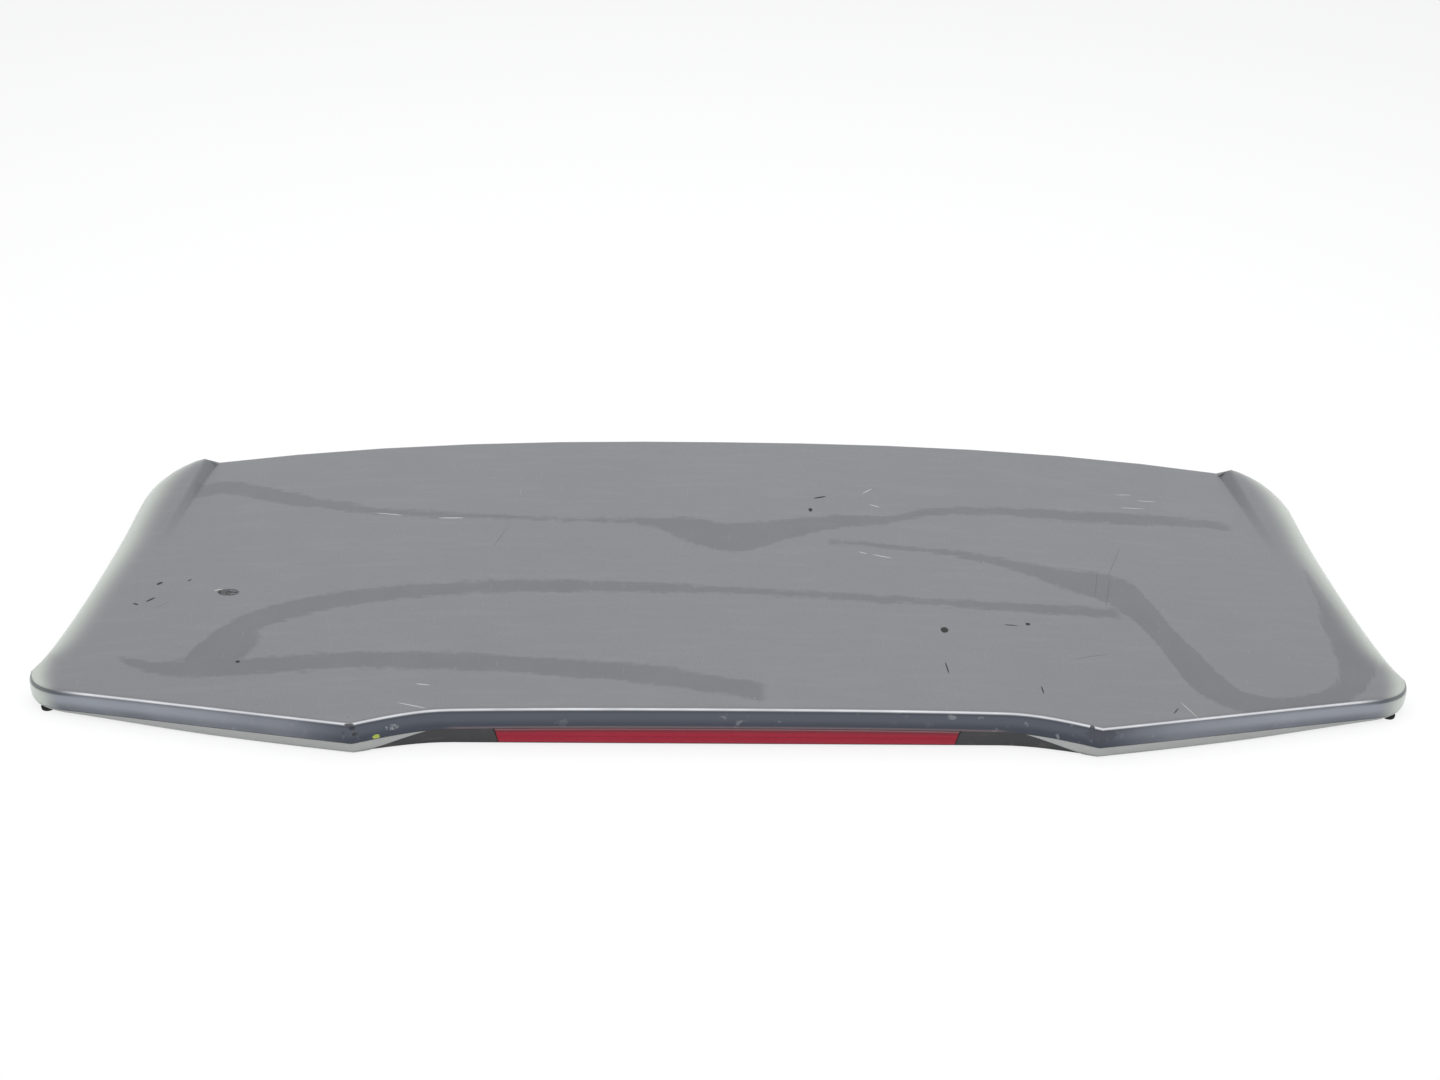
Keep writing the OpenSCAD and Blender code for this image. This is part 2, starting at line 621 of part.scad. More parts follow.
module lamp_leds() {
    color([0.95, 0.9, 0.7]) translate([0, -depth / 2, 0]) for (k = [0:led_count - 1])
        across(board_front - led_t, board_front)
            translate([led_x(k) - led_w / 2, led_z - led_w / 2]) square(led_w);
}

module lamp_resistors() {
    color(matte_black) translate([0, -depth / 2, 0]) for (k = [0:led_count - 2])
        if (abs(led_x(k) + led_pitch / 2 - socket_x) > 12) across(board_back, board_back + 0.8)
            translate([led_x(k) + led_pitch / 2 - 1.6, led_z + 4]) square([3.2, 1.6]);
}

module lamp_socket() {
    wall = 1.6;
    color(matte_black) translate([0, -depth / 2, 0]) difference() {
        across(housing_back + seat, housing_back + socket_l)
            translate([socket_x - socket_w / 2, socket_low]) square([socket_w, socket_h]);
        across(housing_back + 2 * wall, housing_back + socket_l + 1)
            translate([socket_x - socket_w / 2 + wall, socket_low + wall])
                square([socket_w - 2 * wall, socket_h - 2 * wall]);
        pins(housing_back, housing_back + 2 * wall + 1, 2 * pin_w);
    }
}

module lamp_terminals() {
    color([0.85, 0.7, 0.35]) translate([0, -depth / 2, 0])
        pins(board_front + 0.2, housing_back + socket_l - 2, pin_w);
}

// A screw from its head down or up: height of the head's face and direction of the shank
module screw(x, v, face, way, shank_d, shank_l, head_d, head_t) {
    translate([x, v, face]) mirror([0, 0, way > 0 ? 1 : 0]) {
        cylinder(h = head_t, d = head_d);
        translate([0, 0, -shank_l]) cylinder(h = shank_l + 0.5, d = shank_d);
    }
}

module lamp_screws() {
    color(steel) translate([0, -depth / 2, 0]) for (p = post_spots)
        screw(p[0], p[1], post_top + 2 * seat + ear_t, -1, lamp_screw_d, ear_t + 6, lamp_screw_d * 2.2, 2);
}

module shroud_screws() {
    color(steel) translate([0, -depth / 2, 0]) for (x = tab_spots)
        screw(x, boss_v, boss_level(x) - 2 * seat - shroud_t, 1, shroud_screw_d, shroud_t + boss_bore - 2,
            shroud_screw_d * 2.2, 2.4);
}

stud_face = pad_z + tower_t + seat;
retainer_t = 1;
retainer_d = stud_neck_d + 9;
retainer_low = pad_z - seat - retainer_t;
neck_low = retainer_low - fit;
module mounting_studs() {
    tip_l = 1.2;
    color(steel) translate([0, -depth / 2, 0]) for (x = stud_spots) {
        translate([x - stud_head_w / 2, stud_v - stud_head_w / 2, stud_face])
            cube([stud_head_w, stud_head_w, stud_head_t]);
        pillar(x, stud_v, neck_low, stud_face + 0.5, stud_neck_d);
        pillar(x, stud_v, tip_l, neck_low + 0.5, stud_d);
        translate([x, stud_v, 0]) cylinder(h = tip_l, d1 = stud_d - 2 * tip_l, d2 = stud_d);
    }
}

module ring(x, v, low, high, outer_d, inner_d) {
    difference() {
        pillar(x, v, low, high, outer_d);
        pillar(x, v, low - 1, high + 1, inner_d);
    }
}
module stud_retainers() {
    color(steel) translate([0, -depth / 2, 0]) for (x = stud_spots)
        ring(x, stud_v, retainer_low, retainer_low + retainer_t, retainer_d, stud_neck_d + fit);
}

module stud_seals() {
    color(foam_grey) translate([0, -depth / 2, 0]) for (x = stud_spots)
        ring(x, stud_v, pad_z - seat - stud_seal_t, pad_z - seat, tower_d - 2, retainer_d + 1.5);
}

clip_flange_d = clip_pad_d - 4;
module front_clips() {
    barbs = 3;
    color([0.85, 0.83, 0.76]) translate([0, -depth / 2, 0]) for (x = clip_spots) {
        low = clip_level(x) - seat;
        high = pad_top(x, clip_v, clip_pad_d) + seat;
        pillar(x, clip_v, low - 1.5, low, clip_flange_d);
        pillar(x, clip_v, low - clip_l, high + 1, clip_hole_d - 2 * fit - 2);
        pillar(x, clip_v, high, high + 1.5, clip_hole_d + 5);
        for (k = [1:barbs]) translate([x, clip_v, low - clip_l + (k - 1) * clip_l / 4])
            cylinder(h = clip_l / 5, d1 = clip_hole_d - 3, d2 = clip_hole_d + 2);
    }
}

// A strip under the land of the lower lip, from station first to station last
module land_strip(first, last, near, far, h) {
    sections = [for (i = [first:last]) let (n = inward(wrap(i)), p = plan(i), z = lip_z(wrap(i)) - seat,
        bulge = (far - near) / 4)
        [at(p + n * near, z), at(p + n * far, z), at(p + n * far, z - h / 2),
            at(p + n * (far - bulge), z - h), at(p + n * (near + bulge), z - h),
            at(p + n * near, z - h / 2)]];
    rows = len(sections[0]);
    end = len(sections) - 1;
    polyhedron([for (s = sections) each s], concat(
        [for (i = [0:end - 1], k = [0:rows - 1])
            let (a = i * rows + k, b = i * rows + (k + 1) % rows) each
                [[a, b + rows, a + rows], [a, b, b + rows]]],
        [[for (k = [rows - 1:-1:0]) k], [for (k = [0:rows - 1]) end * rows + k]]));
}
strip_near = lip_inset + 2.5;
strip_far = strip_near + land_w - 2;
module front_seal() {
    reach = 5;
    thick = 5;
    color(foam_grey) translate([0, -depth / 2, 0])
        land_strip(half_n - reach, half_n + reach, strip_near, strip_far, thick);
}
module side_seals() {
    first = 33;
    last = 41;
    color(foam_grey) translate([0, -depth / 2, 0]) {
        land_strip(first, last, strip_near, strip_far, 3);
        land_strip(outline_n - last, outline_n - first, strip_near, strip_far, 3);
    }
}

module harness_grommet() {
    flange_t = 2.5;
    high = pad_top(port_x, port_v, port_pad_d) + seat;
    low = port_level - seat;
    color(matte_black) translate([0, -depth / 2, 0]) difference() {
        union() {
            pillar(port_x, port_v, low - flange_t, low, port_pad_d - 2);
            pillar(port_x, port_v, low - 1, high + 1, port_d - 2 * seat);
            pillar(port_x, port_v, high, high + flange_t, port_d + 5);
        }
        pillar(port_x, port_v, low - flange_t - 1, high + flange_t + 1, port_d / 2);
    }
}

buffer_station = 27;
buffer_d = 13;
module corner_buffers() {
    spot = plan(buffer_station) + inward(buffer_station) * (buffer_d / 2 - 0.5);
    color(matte_black) translate([0, -depth / 2, 0]) for (side = [-1, 1])
        pillar(side * spot[0], spot[1], 0, lip_z(buffer_station - 1) - seat, buffer_d);
}

upper_skin();
lower_skin();
lamp_shroud();
lamp_lens();
lamp_gasket();
lamp_housing();
lamp_reflector();
lamp_board();
lamp_leds();
lamp_resistors();
lamp_socket();
lamp_terminals();
lamp_screws();
shroud_screws();
mounting_studs();
stud_retainers();
stud_seals();
front_clips();
front_seal();
side_seals();
harness_grommet();
corner_buffers();
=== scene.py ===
import math

import bpy
from mathutils import Matrix, Vector


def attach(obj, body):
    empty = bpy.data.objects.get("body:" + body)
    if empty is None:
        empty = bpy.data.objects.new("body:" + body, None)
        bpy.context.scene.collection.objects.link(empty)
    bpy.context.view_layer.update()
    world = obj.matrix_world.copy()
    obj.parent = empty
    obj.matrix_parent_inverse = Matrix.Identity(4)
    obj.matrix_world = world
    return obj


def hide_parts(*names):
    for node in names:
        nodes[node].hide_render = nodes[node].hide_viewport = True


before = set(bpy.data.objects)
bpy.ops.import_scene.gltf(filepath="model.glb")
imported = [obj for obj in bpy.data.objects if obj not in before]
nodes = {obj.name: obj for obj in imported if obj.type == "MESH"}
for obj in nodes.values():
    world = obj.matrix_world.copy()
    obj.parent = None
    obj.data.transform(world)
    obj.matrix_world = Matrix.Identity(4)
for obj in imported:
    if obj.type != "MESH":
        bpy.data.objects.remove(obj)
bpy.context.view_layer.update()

# Studio. The part lies on a pale table under one wide soft lamp, with weaker light from all round.
# The camera stands behind and above the middle, as in the photograph.
camera_data = bpy.data.cameras.new("camera")
camera_data.lens = 42.5
camera_data.sensor_width = 36.0
camera = bpy.data.objects.new("camera", camera_data)
bpy.context.scene.collection.objects.link(camera)
camera_place = (-0.054, -1.300, 0.991)
pitch, yaw, roll = math.radians(34.0), math.radians(2.1), math.radians(1.72)
ahead = Vector((math.sin(yaw) * math.cos(pitch), math.cos(yaw) * math.cos(pitch), -math.sin(pitch)))
level = Vector((math.cos(yaw), -math.sin(yaw), 0.0))
upward = level.cross(ahead)
side = level * math.cos(roll) + upward * math.sin(roll)
upright = upward * math.cos(roll) - level * math.sin(roll)
turned_view = Matrix((side, upright, -ahead)).transposed().to_4x4()
camera.matrix_world = Matrix.Translation(camera_place) @ turned_view
bpy.context.scene.camera = camera
bpy.context.scene.view_settings.view_transform = "Standard"


class Lead:
    """A number, colour or vector on its way through the nodes of a finish."""

    def __init__(self, tree, socket):
        self.tree, self.socket = tree, socket

    def node(self, kind, settings=None, inputs=None, output=0):
        made = self.tree.nodes.new("ShaderNode" + kind)
        for key, value in (settings or {}).items():
            setattr(made, key, value)
        for key, value in (inputs or {}).items():
            if isinstance(value, Lead):
                self.tree.links.new(value.socket, made.inputs[key])
            else:
                made.inputs[key].default_value = value
        return Lead(self.tree, made.outputs[output])

    def math(self, operation, *values):
        return self.node("Math", {"operation": operation}, dict(enumerate(values)))

    def __add__(self, other): return self.math("ADD", self, other)
    def __radd__(self, other): return self.math("ADD", other, self)
    def __sub__(self, other): return self.math("SUBTRACT", self, other)
    def __rsub__(self, other): return self.math("SUBTRACT", other, self)
    def __mul__(self, other): return self.math("MULTIPLY", self, other)
    def __rmul__(self, other): return self.math("MULTIPLY", other, self)
    def __truediv__(self, other): return self.math("DIVIDE", self, other)
    def __abs__(self): return self.math("ABSOLUTE", self)

    def ramp(self, low, high):
        """0 at low and 1 at high, eased between them; low may be above high."""
        return self.node("MapRange", {"interpolation_type": "SMOOTHSTEP"},
                         {"Value": self, "From Min": low, "From Max": high})

    def noise(self, size, detail=2.0, place=None):
        """Soft random variation from 0 to 1, with blobs of the given size in metres."""
        return self.node("TexNoise", None, {"Vector": place or self.place, "Scale": 1.0 / size, "Detail": detail})

    def mix(self, share, first, second):
        """From the first colour to the second as share goes from 0 to 1."""
        return self.node("Mix", {"data_type": "RGBA"}, {0: share, 6: first, 7: second}, 2)


def finish(name):
    """A new material: the lead that reads places on the part, and a call that fills its shader."""
    material = bpy.data.materials.new(name)
    material.use_nodes = True
    tree = material.node_tree
    shader = tree.nodes["Principled BSDF"]
    where = Lead(tree, tree.nodes.new("ShaderNodeTexCoord").outputs["Object"])
    where.place = where
    split = tree.nodes.new("ShaderNodeSeparateXYZ")
    tree.links.new(where.socket, split.inputs[0])
    where.x, where.y, where.z = (Lead(tree, split.outputs[k]) for k in range(3))

    def shade(relief=None, height=0.001, strength=1.0, **values):
        for key, value in values.items():
            key = key.replace("_", " ").title().replace("Ior", "IOR")
            if isinstance(value, Lead):
                tree.links.new(value.socket, shader.inputs[key])
            else:
                shader.inputs[key].default_value = value
        if relief is not None:
            bump = where.node("Bump", None, {"Strength": strength, "Distance": height, "Height": relief})
            tree.links.new(bump.socket, shader.inputs["Normal"])

    return material, where, shade


world = bpy.data.worlds.new("studio")
bpy.context.scene.world = world
world.use_nodes = True
sky = world.node_tree.nodes["Background"]
ray = Lead(world.node_tree, world.node_tree.nodes.new("ShaderNodeLightPath").outputs["Is Camera Ray"])
glossy = Lead(world.node_tree, ray.socket.node.outputs["Is Glossy Ray"])
through = Lead(world.node_tree, ray.socket.node.outputs["Is Transmission Ray"])
seen = ray.math("MINIMUM", ray + glossy + through, 1.0)
world.node_tree.links.new(seen.mix(seen, (0.42, 0.43, 0.44, 1.0), (1.0, 1.0, 1.0, 1.0)).socket, sky.inputs["Color"])

lamp_data = bpy.data.lights.new("softbox", "AREA")
lamp_data.shape = "RECTANGLE"
lamp_data.size, lamp_data.size_y = 2.6, 2.0
lamp_data.energy = 43.0
lamp = bpy.data.objects.new("softbox", lamp_data)
lamp.location = (0.0, 0.14, 1.9)
lamp.visible_glossy = False
bpy.context.scene.collection.objects.link(lamp)

table_size, table_middle, table_level = 16.0, 3.0, -0.0004
bpy.ops.mesh.primitive_plane_add(size=table_size, location=(0.0, table_middle, table_level))
floor = bpy.context.object
floor.name = "table"
table_white, where, shade = finish("table_white")
shade(base_color=(0.93, 0.93, 0.93, 1.0), roughness=0.9, specular_ior_level=0.1)
seen = Lead(table_white.node_tree, table_white.node_tree.nodes.new("ShaderNodeLightPath").outputs["Is Camera Ray"])
white = seen.node("Emission", None, {"Color": (1.0, 1.0, 1.0, 1.0), "Strength": 1.0})
plain = Lead(table_white.node_tree, table_white.node_tree.nodes["Principled BSDF"].outputs[0])
blend = seen.node("MixShader", None, {0: seen * 0.8, 1: plain, 2: white})
table_white.node_tree.links.new(blend.socket, table_white.node_tree.nodes["Material Output"].inputs["Surface"])
floor.data.materials.append(table_white)

# Upper skin: one injection moulding in impact-resistant plastic, primed, painted dark grey metallic
# and clear coated. It carries the glossy band of the trailing edge and is bonded to the lower skin.
# Its places follow the top line: heights at the trailing and front edges, camber and crown.
depth, half_span = 0.342, 0.626
tail_height, front_height, camber = 0.038, 0.119, 0.003
crown_tail, crown_front = 0.024, 0.051


def merged(node, name, angle):
    """A copy of a CAD node with its triangles joined, shaded smooth up to the given angle."""
    bpy.ops.object.select_all(action="DESELECT")
    copy = bpy.data.objects.new(name, nodes[node].data.copy())
    bpy.context.scene.collection.objects.link(copy)
    bpy.context.view_layer.objects.active = copy
    copy.select_set(True)
    bpy.ops.mesh.customdata_custom_splitnormals_clear()
    bpy.ops.object.mode_set(mode="EDIT")
    bpy.ops.mesh.select_all(action="SELECT")
    bpy.ops.mesh.remove_doubles(threshold=0.00001)
    bpy.ops.object.mode_set(mode="OBJECT")
    bpy.ops.object.shade_smooth_by_angle(angle=math.radians(angle))
    copy.data.materials.clear()
    return copy


def below_top(where):
    """How far a point lies under the line of the crowned top, in metres."""
    along = (where.y + depth / 2) / depth
    bulge = where.math("SINE", where.node("Clamp", None, {0: along}) * math.pi) * camber
    crown = where.math("POWER", abs(where.x) / half_span, 2.5)
    return (along * (front_height - tail_height) + tail_height + bulge
            - (along * (crown_front - crown_tail) + crown_tail) * crown - where.z)


def line_through(where, run, points):
    """A smooth line through points [place, value], read at run."""
    start, end = points[0][0], points[-1][0]
    made = where.tree.nodes.new("ShaderNodeFloatCurve")
    made.mapping.use_clip = False
    line = made.mapping.curves[0]
    while len(line.points) < len(points):
        line.points.new(0.5, 0.5)
    for point, (place, value) in zip(line.points, points):
        point.location = ((place - start) / (end - start), value)
        point.handle_type = "AUTO"
    made.mapping.update()
    where.tree.links.new(((run - start) / (end - start)).socket, made.inputs["Value"])
    return Lead(where.tree, made.outputs[0])


def trail(where, points, turned=False):
    """A wiped trail along points [x, y, half width]: 1 on it and 0 off it, with frayed edges."""
    run, other = (where.y, where.x) if turned else (where.x, where.y)
    middle = line_through(where, run, [(p[0], p[1] + 0.5) for p in points]) - 0.5
    width = line_through(where, run, [(p[0], p[2] * 20) for p in points]) / 20
    streaks = where.noise(0.02, 4.0, where.node("Mapping", None, {
        "Vector": where, "Scale": (6.0, 1.0, 1.0) if turned else (1.0, 6.0, 1.0)}))
    edge = abs(other - middle) + (streaks - 0.5) * 0.011 + (where.noise(0.006, 3.0) - 0.5) * 0.005
    start, end = points[0][0], points[-1][0]
    inside = run.ramp(start - 0.004, start + 0.004) * run.ramp(end + 0.004, end - 0.006)
    return (1 - (edge - width).ramp(-0.0022, 0.0022)) * inside


def dash(where, x, y, length, breadth, turn):
    """A small mark: 1 inside an ellipse turned by an angle, and 0 outside it."""
    c, s = math.cos(math.radians(turn)), math.sin(math.radians(turn))
    dx, dy = where.x - x, where.y - y
    far = abs((dx * c + dy * s) / length)
    near = abs((dy * c - dx * s) / breadth)
    return (far * far + near * near + (where.noise(0.0015) - 0.5) * 0.8).ramp(1.25, 0.75)


def most(marks):
    """The strongest of several marks at each place."""
    strongest, *others = marks
    for mark in others:
        strongest = strongest.math("MAXIMUM", strongest, mark)
    return strongest


def spot(where, deep, x, level, width, height):
    """A small mark on the trailing band, at a place across the car and a depth below the top."""
    beside, down = (where.x - x) / width, (deep - level) / height
    blot = (beside * beside + down * down + where.noise(0.003) - 0.5).ramp(1.25, 0.85)
    return blot * where.y.ramp(-0.12, -0.13)


# Where the paint changes: by depth below the top line, by distance from the middle, and from rear to front.
paint, where, shade = finish("grey_metallic_paint")
depth_below = below_top(where)
on_top = depth_below.ramp(0.0045, 0.0015)
at_rear = where.y.ramp(-0.075, -0.095)
corner = abs(where.x).ramp(0.590, 0.616)
on_band = depth_below.ramp(0.0018, 0.0036) * at_rear * (1 - corner)
far_end = abs(where.x).ramp(0.565, 0.598)
at_crease = depth_below.ramp(0.0005, 0.0011) * depth_below.ramp(0.0028, 0.0016) * at_rear * (1 - far_end)
corner_crease_shade = depth_below.ramp(0.0008, 0.0016) * depth_below.ramp(0.0052, 0.0036) * at_rear * far_end
in_notch = abs(where.x).ramp(0.252, 0.236)
foot_highlight = depth_below.ramp(0.0182, 0.0196) * at_rear * in_notch
# The rolled flanks are painted paler and greenish towards the outline as a painted reflection; the outline is given by
# its half width at each place.
rim = line_through(where, where.y, [
    (-0.121, 0.592), (-0.111, 0.6154), (-0.091, 0.626), (-0.056, 0.6133), (-0.006, 0.6011), (0.053, 0.5860),
    (0.114, 0.574), (0.1513, 0.5586), (0.1635, 0.543), (0.169, 0.522)])
rolled = (abs(where.x) - rim).ramp(-0.044, -0.001)
rolled = rolled * rolled * corner.math("MAXIMUM", corner, where.y.ramp(-0.095, -0.070))
step_line = (0.171 - where.y) * 0.25 + 0.5105
step_shade = abs(abs(where.x) - step_line).ramp(0.0075, 0.002) * where.y.ramp(0.035, 0.150) * on_top
band_sheen = depth_below.ramp(0.0015, 0.006) * depth_below.ramp(0.018, 0.009) * at_rear

# Clouding, haze, metallic flake and the film of old wipes.
cloud = where.noise(0.16, 3.0)
haze = where.noise(0.035, 4.0)
flake = where.noise(0.0007, 1.0)
film = where.node("Mapping", None, {"Vector": where, "Rotation": (0.0, 0.0, 0.3), "Scale": (1.0, 9.0, 1.0)})
wipes = where.noise(0.06, 5.0, film)

# Trails where a cloth has wiped through the film, along the photograph's own paths.
front_trail = trail(where, [
    (-0.521, 0.126, 0.009), (-0.486, 0.127, 0.009), (-0.444, 0.111, 0.009), (-0.382, 0.091, 0.006),
    (-0.322, 0.077, 0.004), (-0.225, 0.067, 0.003), (-0.129, 0.060, 0.002), (-0.072, 0.058, 0.005),
    (-0.033, 0.048, 0.016), (0.005, 0.039, 0.018), (0.052, 0.048, 0.013), (0.101, 0.060, 0.009),
    (0.150, 0.064, 0.006), (0.199, 0.077, 0.004), (0.259, 0.082, 0.005), (0.338, 0.082, 0.007),
    (0.418, 0.085, 0.007), (0.500, 0.087, 0.004)])
arch_trail = trail(where, [
    (-0.486, -0.105, 0.009), (-0.465, -0.078, 0.014), (-0.437, -0.057, 0.013), (-0.399, -0.042, 0.011),
    (-0.345, -0.031, 0.009), (-0.273, -0.024, 0.008), (-0.181, -0.021, 0.007), (-0.089, -0.023, 0.006),
    (0.003, -0.026, 0.004), (0.096, -0.031, 0.004), (0.188, -0.036, 0.004), (0.281, -0.039, 0.005),
    (0.365, -0.041, 0.006)])
low_trail = trail(where, [
    (-0.544, -0.087, 0.002), (-0.514, -0.099, 0.006), (-0.487, -0.103, 0.009), (-0.441, -0.106, 0.009),
    (-0.389, -0.103, 0.009), (-0.309, -0.103, 0.009), (-0.220, -0.107, 0.009), (-0.140, -0.114, 0.009),
    (-0.069, -0.121, 0.010), (-0.016, -0.130, 0.009), (0.032, -0.139, 0.010)])
right_trail = trail(where, [
    (0.099, 0.035, 0.002), (0.175, 0.029, 0.003), (0.251, 0.018, 0.005), (0.315, -0.001, 0.012),
    (0.360, -0.013, 0.020), (0.385, -0.032, 0.027), (0.399, -0.057, 0.029), (0.412, -0.085, 0.030),
    (0.434, -0.112, 0.024), (0.457, -0.132, 0.014), (0.503, -0.136, 0.010), (0.554, -0.119, 0.013),
    (0.572, -0.100, 0.010)])
edge_trail = trail(where, [
    (-0.118, 0.560, 0.010), (-0.082, 0.580, 0.018), (-0.064, 0.581, 0.018), (-0.040, 0.576, 0.015),
    (-0.001, 0.571, 0.008), (0.040, 0.562, 0.002)], turned=True)
fork = dash(where, -0.452, -0.088, 0.036, 0.019, 38)
trails = most([front_trail, arch_trail, low_trail, right_trail, edge_trail, fork]) * on_top

# Fine scratches in two directions, and grains of dirt.
hair = where.node("Mapping", None, {"Vector": where, "Rotation": (0.0, 0.0, 0.5), "Scale": (14.0, 1.0, 1.0)})
hair_two = where.node("Mapping", None, {
    "Vector": where, "Rotation": (0.0, 0.0, -1.1), "Scale": (18.0, 1.0, 1.0)})
scratches = (where.noise(0.012, 2.0, hair).ramp(0.725, 0.76)
             + where.noise(0.016, 2.0, hair_two).ramp(0.73, 0.77))
speckle = where.node("TexVoronoi", None, {"Vector": where, "Scale": 62.0})
grains = speckle.ramp(0.045, 0.02) * where.noise(0.05, 2.0).ramp(0.58, 0.66) * on_top

# Marks on the top, each with its place, half length, half breadth and turn in degrees.
large_mark = dash(where, -0.460, -0.016, 0.0105, 0.0040, -8) * where.noise(0.004, 3.0, film).ramp(0.42, 0.48)
dark_marks = most([large_mark] + [dash(where, *mark) for mark in (
        (-0.436, -0.099, 0.002, 0.0014, 0), (-0.528, 0.002, 0.003, 0.0014, 20), (-0.532, -0.018, 0.0045, 0.001, 30),
        (0.198, -0.068, 0.0035, 0.0032, 0), (0.260, -0.060, 0.006, 0.0005, -4), (0.276, -0.058, 0.0022, 0.0016, 0),
        (0.093, 0.093, 0.006, 0.0009, 14), (0.083, 0.076, 0.0018, 0.0024, 0),
        (0.279, -0.131, 0.0006, 0.004, 8), (0.396, -0.148, 0.004, 0.0005, 48), (0.196, -0.110, 0.0006, 0.006, 10),
        (-0.500, 0.003, 0.002, 0.0008, 30), (-0.545, -0.022, 0.003, 0.0008, -20))])
hairlines = most([dash(where, *mark) for mark in (
        (0.349, -0.004, 0.0004, 0.018, -14), (0.358, -0.016, 0.0004, 0.020, -16), (0.370, 0.022, 0.0004, 0.022, -26),
        (-0.213, 0.040, 0.0004, 0.014, -24), (0.330, -0.092, 0.016, 0.0004, 12), (-0.520, -0.026, 0.008, 0.0004, 28))])
pale_marks = most([dash(where, *mark) for mark in (
        (-0.470, -0.012, 0.004, 0.0005, 10),
        (-0.275, -0.152, 0.013, 0.0004, -14), (-0.268, -0.130, 0.0060, 0.0004, -8), (0.140, 0.103, 0.006, 0.0004, 35),
        (0.146, 0.083, 0.005, 0.0004, -20), (-0.262, 0.066, 0.012, 0.0005, -2), (-0.322, 0.074, 0.013, 0.0004, -10),
        (0.148, 0.018, 0.009, 0.0004, -12), (0.130, 0.022, 0.004, 0.0004, -16), (0.404, 0.100, 0.012, 0.0003, 4),
        (0.420, 0.112, 0.010, 0.0003, 3), (0.398, 0.118, 0.008, 0.0003, 5), (0.408, -0.146, 0.010, 0.0003, -52))])

# Wear of the trailing edge: chips along the crease and at the tips, scuffs, and a dab of other paint.
chips = at_crease * where.noise(0.005, 3.0).ramp(0.66, 0.70) * where.noise(0.07, 2.0).ramp(0.48, 0.58)
scuffs = on_band * (where.noise(0.012, 4.0, film).ramp(0.6, 0.72)) * where.noise(0.09, 2.0).ramp(0.45, 0.6)
pitted = dash(where, -0.3265, -0.1690, 0.013, 0.008, 20) * where.noise(0.0035, 2.0).ramp(0.64, 0.67)
tip_chips = most([pitted] + [spot(where, depth_below, *mark) for mark in (
        (-0.3250, 0.0048, 0.0026, 0.0018), (-0.3240, 0.0115, 0.0017, 0.0016),
        (-0.3275, 0.0018, 0.0040, 0.0010), (0.3180, 0.0020, 0.0022, 0.0014))])
dab = spot(where, depth_below, -0.3060, 0.0190, 0.0030, 0.0024)
smudge = spot(where, depth_below, 0.3270, 0.0085, 0.0130, 0.0070)
rubbed = spot(where, depth_below, -0.2920, 0.0120, 0.0055, 0.0030) * where.noise(0.002, 2.0).ramp(0.45, 0.6)
lobe_dust_and_sheen = on_band * abs(where.x).ramp(0.325, 0.40)

# The colours are laid over one another in this order.
grey = where.mix(cloud, (0.160, 0.166, 0.176, 1.0), (0.178, 0.184, 0.194, 1.0))
grey = where.mix(flake.ramp(0.35, 0.75) * 0.35, grey, (0.245, 0.250, 0.265, 1.0))
grey = where.mix(wipes.ramp(0.45, 0.75) * 0.22, grey, (0.225, 0.230, 0.238, 1.0))
grey = where.mix(trails * (0.55 + haze * 0.35), grey, (0.118, 0.124, 0.134, 1.0))
# Painted shade and painted reflection: the upright trailing band is painted dark navy.
grey = where.mix(on_band, grey, (0.012, 0.021, 0.042, 1.0))
# The band on the lobes is painted paler blue: partly dust haze, partly a painted reflection.
grey = where.mix(lobe_dust_and_sheen * (0.35 + haze * 0.5), grey, (0.22, 0.235, 0.27, 1.0))
# Painted reflection: a soft pale stripe along the band below the crease, stronger towards the outer ends.
grey = where.mix(band_sheen * on_band * (0.12 + abs(where.x).ramp(0.33, 0.52) * 0.45), grey, (0.38, 0.40, 0.45, 1.0))
grey = where.mix(scuffs * 0.6, grey, (0.30, 0.31, 0.33, 1.0))
# Painted highlight: a pale reddish strip along the foot of the band in the notch.
grey = where.mix(foot_highlight * 0.5, grey, (0.22, 0.14, 0.15, 1.0))
# Painted reflection: a pale greenish glow on the rolled flanks and corners.
grey = where.mix(rolled * (0.7 + cloud * 0.3), grey, (0.60, 0.65, 0.58, 1.0))
grey = where.mix(step_shade * 0.5, grey, (0.085, 0.090, 0.100, 1.0))
# Painted shade: a dark line where the crease turns round the far corners.
grey = where.mix(corner_crease_shade * 0.8, grey, (0.030, 0.038, 0.055, 1.0))
grey = where.mix(smudge * 0.6, grey, (0.020, 0.024, 0.034, 1.0))
grey = where.mix(rubbed * 0.5, grey, (0.45, 0.46, 0.48, 1.0))
# Painted highlight: a thin near-white line along the crease of the trailing edge, fading towards the corners.
grey = where.mix(at_crease * (0.45 + haze * 0.7), grey, (0.90, 0.91, 0.95, 1.0))
grey = where.mix(scratches * on_top * 0.35, grey, (0.36, 0.36, 0.37, 1.0))
grey = where.mix(grains * 0.6, grey, (0.42, 0.42, 0.41, 1.0))
grey = where.mix(pale_marks * 0.7, grey, (0.58, 0.58, 0.57, 1.0))
grey = where.mix(chips * 0.8, grey, (0.60, 0.61, 0.62, 1.0))
grey = where.mix(hairlines * 0.45, grey, (0.06, 0.062, 0.066, 1.0))
grey = where.mix(dark_marks * 0.92, grey, (0.022, 0.021, 0.020, 1.0))
grey = where.mix(tip_chips * 0.9, grey, (0.03, 0.03, 0.032, 1.0))
grey = where.mix(dab * 0.85, grey, (0.46, 0.55, 0.05, 1.0))
dullness = 0.36 + haze * 0.10 + (1 - trails) * 0.06 + scratches * 0.1 + dark_marks * 0.3
